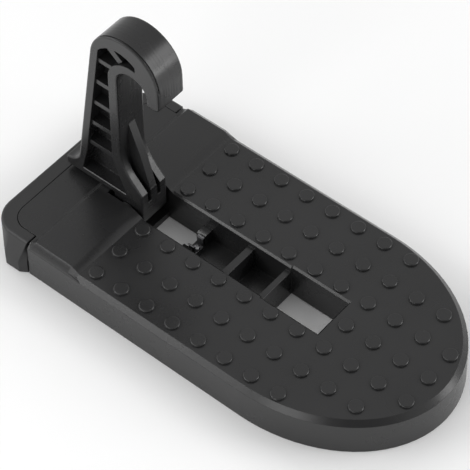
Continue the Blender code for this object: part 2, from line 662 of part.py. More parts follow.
def cheek_blend():
    """The hollow round that carries the line of the cheeks up into the stem."""
    stem_lean = math.atan((STEM_FRONT_TOP - STEM_FRONT_FOOT) / (THROAT_REACH - STEM_FOOT_REACH))
    cheek_depth = HUB_RADIUS - stem_front(FLANGE_TOP_REACH)
    cheek_lean = math.atan(cheek_depth / (FLANGE_TOP_REACH - FLANGE_LOW_REACH))
    top_reach = FLANGE_TOP_REACH + CHEEK_BLEND * math.tan((cheek_lean + stem_lean) / 2)
    centre = arm_point(stem_front(top_reach) + CHEEK_BLEND * math.cos(stem_lean),
                       top_reach - CHEEK_BLEND * math.sin(stem_lean))
    return arc(centre, CHEEK_BLEND, 180 + math.degrees(cheek_lean), 180 - math.degrees(stem_lean))


def arm_outline():
    """The arm from the side: hub, foot, cheek, stem, throat, hook, rear edge and toe."""
    hub = arm_point(0, 0)
    throat = arm_point(THROAT_FORWARD, THROAT_REACH)
    hook = arm_point(HOOK_FORWARD, HOOK_REACH)
    tip_inner = THROAT_FORWARD + THROAT_RADIUS
    tip_outer = HOOK_FORWARD + HOOK_RADIUS
    inner_round = arm_point(tip_inner + TIP_INNER_RADIUS, TIP_REACH + TIP_INNER_RADIUS)
    outer_round = arm_point(tip_outer - TIP_OUTER_RADIUS, TIP_REACH + TIP_OUTER_RADIUS)
    toe_under = PLATEAU_TOP + SEAT_GAP
    toe_top = toe_under + TOE_HEIGHT
    fillet_reach = toe_top + TOE_LENGTH - HINGE_Z
    heel = HINGE_X + rear_edge(fillet_reach)
    toe_centre = (heel - TOE_LENGTH, toe_top + TOE_LENGTH)
    outline = arc(hub, HUB_RADIUS, 180, 360)
    outline.append(arm_point(HUB_RADIUS, FLANGE_LOW_REACH))
    outline += cheek_blend()
    outline += arc(throat, THROAT_RADIUS, 180, 0)
    outline += arc(inner_round, TIP_INNER_RADIUS, 180, 270)
    outline += arc(outer_round, TIP_OUTER_RADIUS, 270, 360)
    outline += arc(hook, HOOK_RADIUS, 0, 180 - ARM_TAPER_DEG)
    outline += arc(toe_centre, TOE_LENGTH, 0, -90)
    outline.append((heel - TOE_LENGTH, toe_under))
    outline.append((HINGE_X - HUB_RADIUS, toe_under))
    return outline


def pocket_outline():
    """The hollow in each side of the arm, between the rear flange, crown and front wall."""
    crown_forward = HOOK_FORWARD - CROWN_BACK
    crown_reach = HOOK_REACH - CROWN_DOWN
    crown_radius = HOOK_RADIUS - CROWN_WALL
    inner_radius = THROAT_RADIUS + FRONT_WALL
    start = 120.0
    while crown_forward + crown_radius * math.cos(math.radians(start)) > rear_edge(
            crown_reach + crown_radius * math.sin(math.radians(start)), REAR_FLANGE):
        start += 0.5
    crown_end = math.degrees(math.acos((POCKET_NOSE_FORWARD - crown_forward) / crown_radius))
    inner_start = math.degrees(math.acos((POCKET_NOSE_FORWARD - THROAT_FORWARD) / inner_radius))
    heel_forward = rear_edge(POCKET_FLOOR_REACH, REAR_FLANGE) - POCKET_HEEL_FLARE
    outline = [arm_point(heel_forward, POCKET_FLOOR_REACH),
               arm_point(rear_edge(POCKET_HEEL_REACH, REAR_FLANGE), POCKET_HEEL_REACH)]
    outline += arc(arm_point(crown_forward, crown_reach), crown_radius, start, crown_end)
    outline += arc(arm_point(THROAT_FORWARD, THROAT_REACH), inner_radius, inner_start, 180)
    outline.append(arm_point(stem_front(POCKET_KNEE_REACH) - FRONT_WALL, POCKET_KNEE_REACH))
    outline.append(arm_point(POCKET_FLOOR_FRONT, POCKET_FLOOR_REACH))
    return outline


def side_pockets(cutters):
    depth = (ARM_WIDTH - WEB_THICKNESS) / 2 + BEYOND
    middle = WEB_THICKNESS / 2 + depth / 2
    return [side_plate(f"side_pocket_{name}", pocket_outline(), depth, side * middle, cutters)
            for side, name in ((-1, "right"), (1, "left"))]


def foot_pockets(cutters):
    """The two hollows in front of the foot, between the fin and the cheeks."""
    inner = FIN_THICKNESS / 2
    outer = ARM_HALF - FLANGE_THICKNESS
    top = max(z for x, z in cheek_blend())
    pockets = []
    for side, name in ((-1, "right"), (1, "left")):
        ys = (inner, outer) if side > 0 else (-outer, -inner)
        pockets.append(box(f"foot_pocket_{name}",
                           (HINGE_X + STEM_FRONT_FOOT, ys[0], HINGE_Z + FOOT_POCKET_FLOOR),
                           (HINGE_X + HUB_RADIUS + BEYOND, ys[1], top), cutters))
    return pockets


def ladder_ribs(cutters):
    """Level ribs across the side pockets, and the slanted brace near the top."""
    half = ARM_HALF - LADDER_SETBACK
    pitch = (HOOK_REACH - LADDER_LAST_DROP - LADDER_FIRST_REACH) / (LADDER_COUNT - 1)
    ribs = []
    for i in range(LADDER_COUNT):
        reach = LADDER_FIRST_REACH + i * pitch
        rear = rear_edge(reach, REAR_FLANGE / 2)
        above = reach - THROAT_REACH
        if above > 0:
            front = THROAT_FORWARD - math.sqrt((THROAT_RADIUS + FRONT_WALL / 2) ** 2 - above ** 2)
        else:
            front = stem_front(reach) - FRONT_WALL / 2
        ribs.append(box(f"ladder_rib_{i}", (HINGE_X + rear, -half, HINGE_Z + reach - LADDER_THICKNESS / 2),
                        (HINGE_X + front, half, HINGE_Z + reach + LADDER_THICKNESS / 2), cutters))
    brace = box("brace", (-BRACE_LENGTH / 2, -half, -BRACE_THICKNESS / 2),
                (BRACE_LENGTH / 2, half, BRACE_THICKNESS / 2), cutters)
    x, z = arm_point(BRACE_FORWARD, HOOK_REACH + BRACE_RISE)
    brace.data.transform(Matrix.Translation((x, 0, z)) @ Matrix.Rotation(math.radians(BRACE_ANGLE_DEG), 4, "Y"))
    ribs.append(brace)
    return ribs


def fin(cutters):
    """The middle fin that runs from the stem down the front of the foot."""
    root = FRONT_WALL / 2
    outline = [arm_point(0, FOOT_POCKET_FLOOR - OVERLAP), arm_point(HUB_RADIUS - OVERLAP / 2, FOOT_POCKET_FLOOR - OVERLAP),
               arm_point(HUB_RADIUS - OVERLAP / 2, FIN_LOW_REACH),
               arm_point(FIN_KNEE_FORWARD, FIN_KNEE_REACH), arm_point(stem_front(FIN_TOP_REACH), FIN_TOP_REACH),
               arm_point(stem_front(FIN_TOP_REACH) - root, FIN_TOP_REACH),
               arm_point(stem_front(STEM_FOOT_REACH) - root, STEM_FOOT_REACH)]
    return side_plate("fin", outline, FIN_THICKNESS - 0.0001, 0.0, cutters)


def make_hook_arm(parts, cutters):
    arm = side_plate("hook_arm", arm_outline(), ARM_WIDTH, 0.0, parts)
    rims = arm.modifiers.new("Rounded rims", "BEVEL")
    rims.width = ARM_EDGE
    rims.segments = 2
    rims.limit_method = "ANGLE"
    rims.angle_limit = math.radians(60)
    cut(arm, *side_pockets(cutters))
    join(arm, *ladder_ribs(cutters))
    cut(arm, *foot_pockets(cutters))
    join(arm, fin(cutters))
    cut(arm, rod("hub_bore", BORE_RADIUS, -ARM_HALF - BEYOND, ARM_HALF + BEYOND, "Y",
                 (HINGE_X, 0, HINGE_Z), PIN_SIDES, cutters))
    return arm


# Hinge hardware

def make_hinge_pin(parts):
    radius = PIN_DIAMETER / 2
    neck = radius - RING_GROOVE
    groove_out = RING_Y + RING_THICKNESS + SEAT_GAP
    end = groove_out + PIN_END
    upper = [(0.0, end), (radius - PIN_CHAMFER, end), (radius, end - PIN_CHAMFER), (radius, groove_out),
             (neck, groove_out), (neck, HINGE_BOSS_END), (radius, HINGE_BOSS_END)]
    profile = upper + [(r, -h) for r, h in reversed(upper)]
    return turned("hinge_pin", profile, Matrix.Rotation(-math.pi / 2, 4, "X"), (HINGE_X, 0, HINGE_Z),
                  PIN_SIDES, parts)


def make_retaining_ring(name, side, parts):
    """A snap ring in the pin's groove, open at the bottom."""
    inner = PIN_DIAMETER / 2 - RING_GROOVE + SEAT_GAP
    gap = RING_OPENING_DEG / 2
    hinge = arm_point(0, 0)
    outline = arc(hinge, RING_RADIUS, -90 + gap, 270 - gap) + arc(hinge, inner, 270 - gap, -90 + gap)
    return side_plate(name, outline, RING_THICKNESS, side * (RING_Y + RING_THICKNESS / 2), parts)


def make_thrust_washer(name, side, parts):
    """A washer that fills the room between the arm and the slot wall."""
    inner = BORE_RADIUS
    near = ARM_HALF + SEAT_GAP
    far = SLOT_HALF_WIDTH - SEAT_GAP
    profile = [(inner, far), (WASHER_RADIUS, far), (WASHER_RADIUS, near), (inner, near), (inner, far)]
    if side < 0:
        profile = [(r, -h) for r, h in reversed(profile)]
    return turned(name, profile, Matrix.Rotation(-math.pi / 2, 4, "X"), (HINGE_X, 0, HINGE_Z), PIN_SIDES, parts)


def make_stow_clip(parts, cutters):
    """A spring clip with two leaves and flared lips, bent from one strip."""
    seat = CLIP_SEAT_Z + SEAT_GAP
    inner = FIN_THICKNESS / 2 + CLIP_GRIP_GAP
    outer = inner + CLIP_THICKNESS
    top = seat + CLIP_LEAF_HEIGHT
    lip = top + CLIP_LIP_HEIGHT
    right = [(outer, seat), (outer, top), (outer + CLIP_LIP_FLARE, lip), (inner + CLIP_LIP_FLARE, lip),
             (inner, top), (inner, seat + CLIP_THICKNESS)]
    outline = right + [(-y, z) for y, z in reversed(right)]
    rings = [[(CLIP_X + shift, y, z) for y, z in outline] for shift in (-CLIP_WIDTH / 2, CLIP_WIDTH / 2)]
    clip = stack("stow_clip", rings, parts)
    cut(clip, rod("clip_hole", CLIP_SCREW_RADIUS + SEAT_GAP, CLIP_SEAT_Z - BEYOND, CLIP_SEAT_Z + BEYOND, "Z",
                  (CLIP_X, 0, 0), SCREW_SIDES, cutters))
    return clip


def pan_head_profile(radius, length, head_radius, head_height):
    """A pan-head screw from its crown down to its blunt end, seat of the head at height 0."""
    dome = head_height / 2
    return [(0.0, head_height), (head_radius * 0.6, head_height), (head_radius * 0.9, head_height - dome / 2),
            (head_radius, head_height - dome), (head_radius, 0.0), (radius, 0.0),
            (radius, -length + radius / 2), (radius / 2, -length), (0.0, -length)]


def make_clip_screw(parts):
    profile = pan_head_profile(CLIP_SCREW_RADIUS, CLIP_SCREW_LENGTH, CLIP_SCREW_HEAD_RADIUS, CLIP_SCREW_HEAD_HEIGHT)
    seat = CLIP_SEAT_Z + CLIP_THICKNESS + 2 * SEAT_GAP
    return turned("stow_clip_screw", profile, Matrix.Identity(4), (CLIP_X, 0, seat),
                  SCREW_SIDES, parts)


def make_bumper_screws(parts):
    profile = pan_head_profile(SCREW_RADIUS, SCREW_LENGTH, SCREW_HEAD_RADIUS, SCREW_HEAD_HEIGHT)
    screws = []
    for name, axis, sign, seat, centre in screw_places():
        place = list(centre)
        place["XY".index(axis)] = seat - sign * SEAT_GAP
        if axis == "X":
            turn = Matrix.Rotation(-sign * math.pi / 2, 4, "Y")
        else:
            turn = Matrix.Rotation(sign * math.pi / 2, 4, "X")
        screws.append(turned(name, profile, turn, place, SCREW_SIDES, parts))
    return screws


def finish(piece, material, angle_deg=None):
    piece.data.materials.clear()
    piece.data.materials.append(material)
    if angle_deg is not None:
        piece.data.shade_smooth()
        piece.data.set_sharp_from_angle(angle=math.radians(angle_deg))


def build():
    clear_scene()
    parts = new_collection("car_door_step")
    cutters = new_collection("cutters")
    moulded = make_material("moulded_black", (0.030, 0.030, 0.031), 0.55, 0.0)
    coated = make_material("arm_black", (0.032, 0.032, 0.033), 0.50, 0.0)
    rubber = make_material("bumper_rubber", (0.024, 0.024, 0.025), 0.75, 0.0)
    steel = make_material("bright_steel", (0.60, 0.60, 0.61), 0.30, 1.0)
    nylon = make_material("nylon", (0.030, 0.030, 0.031), 0.45, 0.0)

    plate = make_tread_plate(parts, cutters)
    bumper = make_bumper(parts, cutters)
    finish(plate, moulded, 30)
    finish(bumper, rubber, 30)

    hinge = bpy.data.objects.new("hinge_axis", None)
    hinge.location = (HINGE_X, 0, HINGE_Z)
    parts.objects.link(hinge)
    arm = make_hook_arm(parts, cutters)
    arm.parent = hinge
    arm.matrix_parent_inverse = Matrix.Translation(hinge.location).inverted()
    finish(arm, coated, 30)

    finish(make_hinge_pin(parts), steel, 30)
    for side, name in ((-1, "right"), (1, "left")):
        finish(make_retaining_ring(f"retaining_ring_{name}", side, parts), steel)
        finish(make_thrust_washer(f"thrust_washer_{name}", side, parts), nylon, 30)
    finish(make_stow_clip(parts, cutters), steel)
    finish(make_clip_screw(parts), steel, 30)
    for screw in make_bumper_screws(parts):
        finish(screw, steel, 30)


build()
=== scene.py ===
from math import radians, cos, sin

import bpy
from mathutils import Matrix, Vector


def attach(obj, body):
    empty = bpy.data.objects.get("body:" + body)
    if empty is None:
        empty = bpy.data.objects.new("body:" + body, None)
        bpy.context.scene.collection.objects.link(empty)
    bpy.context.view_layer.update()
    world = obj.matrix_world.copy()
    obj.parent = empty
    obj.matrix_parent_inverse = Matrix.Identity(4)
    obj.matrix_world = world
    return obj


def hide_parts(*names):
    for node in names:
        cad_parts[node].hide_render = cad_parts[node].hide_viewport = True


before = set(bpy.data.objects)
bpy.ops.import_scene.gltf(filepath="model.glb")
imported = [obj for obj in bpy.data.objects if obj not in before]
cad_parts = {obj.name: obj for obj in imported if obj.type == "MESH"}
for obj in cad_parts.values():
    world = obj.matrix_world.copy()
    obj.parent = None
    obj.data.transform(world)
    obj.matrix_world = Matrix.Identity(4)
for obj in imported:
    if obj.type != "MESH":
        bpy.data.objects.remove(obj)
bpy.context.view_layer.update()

print("stage 1: frame loaded")


def selectOnly(piece):
    bpy.ops.object.select_all(action="DESELECT")
    piece.hide_set(False)
    piece.select_set(True)
    bpy.context.view_layer.objects.active = piece


def pickFaces(piece, wanted):
    # leaves the piece in edit mode with just the wanted faces selected
    selectOnly(piece)
    bpy.ops.object.mode_set(mode="EDIT")
    bpy.ops.mesh.select_mode(type="FACE")
    bpy.ops.mesh.select_all(action="DESELECT")
    bpy.ops.object.mode_set(mode="OBJECT")
    for face in piece.data.polygons:
        face.select = wanted(face)
    bpy.ops.object.mode_set(mode="EDIT")


def leaveEdit():
    bpy.ops.mesh.select_all(action="DESELECT")
    bpy.ops.object.mode_set(mode="OBJECT")


# faces that lean apart by less than this lie in one plane
flatAngle = radians(0.6)
# how much more a large face counts than a small one in the shading of a shared corner
flatWeight = 100
# a face looks up when the z of its normal is above this
upward = 0.99


def joinFlatFaces():
    bpy.ops.mesh.select_all(action="SELECT")
    bpy.ops.mesh.dissolve_limited(angle_limit=flatAngle)
    leaveEdit()


def copyOfNode(nodeName, pieceName, mergeDistance=0.000002):
    # the CAD node's own shape, merged, as the start of a finer piece
    selectOnly(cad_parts[nodeName])
    bpy.ops.object.duplicate()
    piece = bpy.context.active_object
    piece.name = pieceName
    piece.data.name = pieceName
    piece.parent = None
    for key in list(piece.keys()):
        del piece[key]
    piece.data.materials.clear()
    bpy.ops.object.mode_set(mode="EDIT")
    bpy.ops.mesh.select_all(action="SELECT")
    bpy.ops.mesh.remove_doubles(threshold=mergeDistance)
    joinFlatFaces()
    return piece


def joinPieces(parts, pieceName):
    bpy.ops.object.select_all(action="DESELECT")
    for part in parts:
        part.select_set(True)
    bpy.context.view_layer.objects.active = parts[0]
    bpy.ops.object.join()
    piece = bpy.context.active_object
    piece.name = pieceName
    piece.data.name = pieceName
    return piece


def softenEdges(piece, settings):
    # a small round on every edge of a small piece
    selectOnly(piece)
    bevel = piece.modifiers.new("Soft edges", "BEVEL")
    bevel.width = settings["edgeWidth"]
    bevel.segments = settings["edgeSegments"]
    bevel.limit_method = "ANGLE"
    bevel.angle_limit = radians(settings["edgeAngle"])
    bevel.use_clamp_overlap = True
    bevel.miter_outer = "MITER_ARC"
    bpy.ops.object.modifier_apply(modifier=bevel.name)
    smoothShade(piece, settings["smoothAngle"])


def roundRims(piece, settings, onRim):
    # a moulding's open rims have no knife edges
    # its hollow faces are cut into triangles first, so that none folds, and are joined again after
    selectOnly(piece)
    bpy.ops.object.mode_set(mode="EDIT")
    bpy.ops.mesh.select_mode(type="EDGE")
    bpy.ops.mesh.select_all(action="SELECT")
    bpy.ops.mesh.quads_convert_to_tris(quad_method="BEAUTY", ngon_method="BEAUTY")
    bpy.ops.mesh.select_all(action="DESELECT")
    bpy.ops.object.mode_set(mode="OBJECT")
    sides = {}
    for face in piece.data.polygons:
        for key in face.edge_keys:
            sides.setdefault(key, []).append(face.normal)
    for edge in piece.data.edges:
        one, other = sides[edge.key]
        start, end = (piece.data.vertices[number].co for number in edge.vertices)
        sharp = one.angle(other, 0) > radians(settings["edgeAngle"])
        edge.select = sharp and onRim(start, end)
    bpy.ops.object.mode_set(mode="EDIT")
    bpy.ops.mesh.bevel(offset=settings["edgeWidth"], segments=settings["edgeSegments"],
                       affect="EDGES", clamp_overlap=False, miter_outer="ARC")
    joinFlatFaces()
    smoothShade(piece, settings["smoothAngle"])


def smoothShade(piece, angle):
    selectOnly(piece)
    bpy.ops.object.shade_smooth_by_angle(angle=radians(angle))
    flats = piece.modifiers.new("Flat faces stay flat", "WEIGHTED_NORMAL")
    flats.weight = flatWeight
    flats.keep_sharp = True
    bpy.ops.object.modifier_apply(modifier=flats.name)


def startMaterial(name, settings):
    material = bpy.data.materials.new(name)
    material.use_nodes = True
    shader = material.node_tree.nodes["Principled BSDF"]
    shader.inputs["Base Color"].default_value = (*settings["colour"], 1)
    shader.inputs["Roughness"].default_value = settings["roughness"]
    shader.inputs["Metallic"].default_value = settings["metallic"]
    shader.inputs["Specular IOR Level"].default_value = settings["specular"]
    return material, material.node_tree.nodes, material.node_tree.links, shader


def addNoise(nodes, links, coords, scale, detail, rough=0.55):
    noise = nodes.new("ShaderNodeTexNoise")
    noise.inputs["Scale"].default_value = scale
    noise.inputs["Detail"].default_value = detail
    noise.inputs["Roughness"].default_value = rough
    links.new(coords.outputs["Object"], noise.inputs["Vector"])
    return noise


def addRange(nodes, links, source, low, high, fromLow=0.3, fromHigh=0.7):
    ranged = nodes.new("ShaderNodeMapRange")
    ranged.inputs["From Min"].default_value = fromLow
    ranged.inputs["From Max"].default_value = fromHigh
    ranged.inputs["To Min"].default_value = low
    ranged.inputs["To Max"].default_value = high
    links.new(source, ranged.inputs["Value"])
    return ranged.outputs["Result"]


def addColours(nodes, links, source, stops):
    ramp = nodes.new("ShaderNodeValToRGB")
    elements = ramp.color_ramp.elements
    for element, (place, colour) in zip(elements, stops):
        element.position = place
        element.color = (*colour, 1)
    links.new(source, ramp.inputs["Fac"])
    return ramp.outputs["Color"]


def addBump(nodes, links, shader, source, depth, strength, before=None):
    bump = nodes.new("ShaderNodeBump")
    bump.inputs["Distance"].default_value = depth
    bump.inputs["Strength"].default_value = strength
    links.new(source, bump.inputs["Height"])
    if before is not None:
        links.new(before.outputs["Normal"], bump.inputs["Normal"])
    links.new(bump.outputs["Normal"], shader.inputs["Normal"])
    return bump


def varyRoughness(nodes, links, shader, clouds, settings):
    low = settings["roughness"] - settings["roughSpread"]
    high = settings["roughness"] + settings["roughSpread"]
    ranged = addRange(nodes, links, clouds.outputs["Fac"], low, high)
    links.new(ranged, shader.inputs["Roughness"])


plasticNoise = {
    "cloudDetail": 4, "grainDetail": 3, "grainRough": 0.6, "darkUntil": 0.35, "paleFrom": 0.7,
    "edgeSamples": 6, "lineDetail": 3,
}
metalNoise = {"cloudDetail": 3, "lineDetail": 2, "lineStrength": 0.4}


def mouldedPlastic(name, settings):
    # black plastic off the mould: fine spark grain and faint flow clouds
    material, nodes, links, shader = startMaterial(name, settings)
    coords = nodes.new("ShaderNodeTexCoord")
    clouds = addNoise(nodes, links, coords, settings["cloudScale"], plasticNoise["cloudDetail"])
    grain = addNoise(nodes, links, coords, settings["grainScale"], plasticNoise["grainDetail"],
                     plasticNoise["grainRough"])
    dark = settings["colour"]
    pale = [channel * settings["cloudGain"] for channel in dark]
    stops = [(plasticNoise["darkUntil"], dark), (plasticNoise["paleFrom"], pale)]
    links.new(addColours(nodes, links, clouds.outputs["Fac"], stops), shader.inputs["Base Color"])
    varyRoughness(nodes, links, shader, clouds, settings)
    # the finest edges catch the light as if they were slightly rounded
    rounded = nodes.new("ShaderNodeBevel")
    rounded.samples = plasticNoise["edgeSamples"]
    rounded.inputs["Radius"].default_value = settings["edgeRound"]
    addBump(nodes, links, shader, grain.outputs["Fac"], settings["grainDepth"],
            settings["grainStrength"], rounded)
    return material


def armMoulding(name, settings):
    # as the tread's plastic, with fine lines from milling the mould
    # they run across the cheeks below, and along the stem and round the hook above
    material = mouldedPlastic(name, settings)
    nodes, links = material.node_tree.nodes, material.node_tree.links
    shader = nodes["Principled BSDF"]
    coords = nodes.new("ShaderNodeTexCoord")
    lines = []
    for stretch in (settings["acrossStretch"], settings["alongStretch"]):
        squeeze = nodes.new("ShaderNodeMapping")
        squeeze.inputs["Scale"].default_value = stretch
        links.new(coords.outputs["Object"], squeeze.inputs["Vector"])
        noise = nodes.new("ShaderNodeTexNoise")
        noise.inputs["Scale"].default_value = settings["lineScale"]
        noise.inputs["Detail"].default_value = plasticNoise["lineDetail"]
        links.new(squeeze.outputs["Vector"], noise.inputs["Vector"])
        lines.append(noise)
    split = nodes.new("ShaderNodeSeparateXYZ")
    links.new(coords.outputs["Object"], split.inputs[0])
    height = addRange(nodes, links, split.outputs["Z"], 0, 1, settings["cheekTop"],
                      settings["stemStart"])
    mixed = nodes.new("ShaderNodeMix")
    links.new(height, mixed.inputs["Factor"])
    links.new(lines[0].outputs["Fac"], mixed.inputs["A"])
    links.new(lines[1].outputs["Fac"], mixed.inputs["B"])
    grain = shader.inputs["Normal"].links[0].from_node
    addBump(nodes, links, shader, mixed.outputs["Result"], settings["lineDepth"],
            settings["lineStrength"], grain)
    return material


def platedMetal(name, settings):
    # plated steel with fine drawn lines
    material, nodes, links, shader = startMaterial(name, settings)
    coords = nodes.new("ShaderNodeTexCoord")
    clouds = addNoise(nodes, links, coords, settings["cloudScale"], metalNoise["cloudDetail"])
    lines = addNoise(nodes, links, coords, settings["lineScale"], metalNoise["lineDetail"])
    varyRoughness(nodes, links, shader, clouds, settings)
    addBump(nodes, links, shader, lines.outputs["Fac"], settings["lineDepth"],
            metalNoise["lineStrength"])
    return material


treadFinish = {
    "colour": (0.015, 0.015, 0.0154), "roughness": 0.28, "roughSpread": 0.03, "metallic": 0.0,
    "specular": 0.5, "cloudScale": 45, "cloudGain": 1.15, "grainScale": 2600,
    "grainDepth": 0.00006, "grainStrength": 0.35, "edgeRound": 0.0003,
}
armFinish = {
    "colour": (0.015, 0.015, 0.0154), "roughness": 0.28, "roughSpread": 0.03, "metallic": 0.0,
    "specular": 0.5, "cloudScale": 60, "cloudGain": 1.2, "grainScale": 3200,
    "grainDepth": 0.00004, "grainStrength": 0.25, "edgeRound": 0.0003,
    "acrossStretch": (1.0, 0.03, 1.0), "alongStretch": (0.03, 1.0, 0.03), "lineScale": 900,
    "lineDepth": 0.00014, "lineStrength": 0.6, "cheekTop": 0.034, "stemStart": 0.042,
}
rubberFinish = {
    "colour": (0.017, 0.017, 0.0173), "roughness": 0.46, "roughSpread": 0.05, "metallic": 0.0,
    "specular": 0.5, "cloudScale": 50, "cloudGain": 1.2, "grainScale": 1500,
    "grainDepth": 0.00008, "grainStrength": 0.5, "edgeRound": 0.0004,
}
steelFinish = {
    "colour": (0.62, 0.62, 0.63), "roughness": 0.28, "roughSpread": 0.07, "metallic": 1.0,
    "specular": 0.5, "cloudScale": 300, "lineScale": 2400, "lineDepth": 0.00002,
}
springFinish = {
    "colour": (0.17, 0.17, 0.175), "roughness": 0.42, "roughSpread": 0.08, "metallic": 1.0,
    "specular": 0.5, "cloudScale": 500, "lineScale": 3000, "lineDepth": 0.00004,
}
screwFinish = {
    "colour": (0.34, 0.34, 0.35), "roughness": 0.44, "roughSpread": 0.12, "metallic": 1.0,
    "specular": 0.5, "cloudScale": 900, "lineScale": 1800, "lineDepth": 0.00008,
}
nylonFinish = {
    "colour": (0.030, 0.030, 0.031), "roughness": 0.42, "roughSpread": 0.05, "metallic": 0.0,
    "specular": 0.5, "cloudScale": 120, "cloudGain": 1.15, "grainScale": 2500,
    "grainDepth": 0.00003, "grainStrength": 0.3, "edgeRound": 0.0001,
}

treadPlastic = mouldedPlastic("treadPlastic", treadFinish)
armPlastic = armMoulding("armPlastic", armFinish)
bumperRubber = mouldedPlastic("bumperRubber", rubberFinish)
platedSteel = platedMetal("platedSteel", steelFinish)
springSteel = platedMetal("springSteel", springFinish)
screwSteel = platedMetal("screwSteel", screwFinish)
washerNylon = mouldedPlastic("washerNylon", nylonFinish)
print("stage 2: materials made")


replacedNodes = set()


def handOver(piece, nodeName, body, material):
    replacedNodes.add(nodeName)
    piece.data.materials.append(material)
    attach(piece, body)
    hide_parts(nodeName)
    print("stage 3:", piece.name, len(piece.data.polygons), "faces")


treadPiece = {
    "edgeWidth": 0.0002, "edgeSegments": 2, "edgeAngle": 28, "smoothAngle": 14,
    "mergeDistance": 0.00019, "footTop": 0.0005, "deckTop": 0.0175, "studTop": 0.0185,
    "studRoom": 0.0001, "studDip": 0.0004,
}
studPiece = {
    "radius": 0.00332, "topRadius": 0.00305, "root": 0.0004, "rimRound": 0.00042, "rimSteps": 4,
    "sides": 40, "smoothAngle": 40,
}


def isStudTop(face):
    atTop = abs(face.center.z - treadPiece["studTop"]) < treadPiece["studRoom"]
    return atTop and face.normal.z > upward


def onTreadFoot(start, end):
    return max(start.z, end.z) < treadPiece["footTop"]


def makeTreadPlate():
    piece = copyOfNode("tread_plate", "treadPlate", treadPiece["mergeDistance"])
    pickFaces(piece, isStudTop)
    bpy.ops.object.mode_set(mode="OBJECT")
    centres = [face.center.copy() for face in piece.data.polygons if face.select]
    # the plain studs sink a little, inside the rounder ones that follow
    bpy.ops.object.mode_set(mode="EDIT")
    bpy.ops.transform.translate(value=(0, 0, -treadPiece["studDip"]))
    leaveEdit()
    roundRims(piece, treadPiece, onTreadFoot)
    handOver(piece, "tread_plate", "step", treadPlastic)
    return centres


def makeStuds(centres):
    # one stud with a round rim, copied to every place
    rootZ = treadPiece["deckTop"] - studPiece["root"]
    topZ = treadPiece["studTop"]
    bpy.ops.object.select_all(action="DESELECT")
    bpy.ops.mesh.primitive_cone_add(
        vertices=studPiece["sides"], radius1=studPiece["radius"], radius2=studPiece["topRadius"],
        depth=topZ - rootZ, end_fill_type="NGON", location=(0, 0, (topZ + rootZ) / 2))
    stud = bpy.context.active_object
    bpy.ops.object.transform_apply(location=True, rotation=True, scale=True)
    pickFaces(stud, lambda face: face.normal.z > upward)
    bpy.ops.mesh.bevel(offset=studPiece["rimRound"], segments=studPiece["rimSteps"],
                       affect="EDGES")
    leaveEdit()
    copies = []
    for centre in centres:
        selectOnly(stud)
        bpy.ops.object.duplicate()
        copy = bpy.context.active_object
        copy.location = (centre.x, centre.y, 0)
        copies.append(copy)
    studs = joinPieces(copies, "treadStuds")
    bpy.ops.object.transform_apply(location=True, rotation=True, scale=True)
    bpy.data.objects.remove(stud, do_unlink=True)
    smoothShade(studs, studPiece["smoothAngle"])
    handOver(studs, "tread_plate", "step", treadPlastic)


bumperPiece = {
    "edgeWidth": 0.0002, "edgeSegments": 2, "edgeAngle": 28, "smoothAngle": 28,
    "topRim": 0.0165, "wingEnd": -0.0765, "footTop": 0.001,
}


def onBumperRim(start, end):
    onTop = min(start.z, end.z) > bumperPiece["topRim"]
    beforeWingEnd = max(start.x, end.x) < bumperPiece["wingEnd"]
    onFoot = max(start.z, end.z) < bumperPiece["footTop"]
    return onTop and beforeWingEnd or onFoot


def makeBumper():
    piece = copyOfNode("end_bumper", "rubberBumper")
    roundRims(piece, bumperPiece, onBumperRim)
    handOver(piece, "end_bumper", "step", bumperRubber)


armPiece = {
    "edgeWidth": 0.0002, "edgeSegments": 2, "edgeAngle": 28, "smoothAngle": 14,
    "mergeDistance": 0.00005, "sideFace": 0.0072,
}
crownGroove = {
    "centreX": -0.05455, "centreZ": 0.0942, "radius": 0.0169, "radiusRoom": 0.0004,
    "start": 0.0865, "front": -0.05, "sideways": 0.05, "outward": 0.95,
    "edge": -0.0060, "depth": 0.00045,
}


def onCrown(face):
    # the outer round of the hook, seen from its own centre
    reach = Vector((face.center.x - crownGroove["centreX"], 0,
                    face.center.z - crownGroove["centreZ"]))
    ahead = face.center.z > crownGroove["start"] or face.center.x > crownGroove["front"]
    return (ahead and abs(reach.length - crownGroove["radius"]) < crownGroove["radiusRoom"]
            and abs(face.normal.y) < crownGroove["sideways"]
            and reach.normalized().dot(face.normal) > crownGroove["outward"])


def cutCrownGroove(piece):
    # a fine groove runs round the hook beside the near side face
    pickFaces(piece, onCrown)
    bpy.ops.mesh.bisect(plane_co=(0, crownGroove["edge"], 0), plane_no=(0, 1, 0))
    leaveEdit()
    pickFaces(piece, lambda face: onCrown(face) and face.center.y < crownGroove["edge"])
    bpy.ops.mesh.extrude_region_shrink_fatten(
        TRANSFORM_OT_shrink_fatten={"value": -crownGroove["depth"]})
    leaveEdit()


def onArmRim(start, end):
    return min(abs(start.y), abs(end.y)) > armPiece["sideFace"]


def makeHookArm():
    piece = copyOfNode("hook_arm", "hookArm", armPiece["mergeDistance"])
    cutCrownGroove(piece)
    roundRims(piece, armPiece, onArmRim)
    handOver(piece, "hook_arm", "arm", armPlastic)


toeBead = {
    "rear": -0.0806, "front": -0.0579, "side": 0.00713, "height": 0.02313, "radius": 0.00040,
    "corners": 4, "edgeWidth": 0.00006, "edgeSegments": 2, "edgeAngle": 28, "smoothAngle": 40,
}


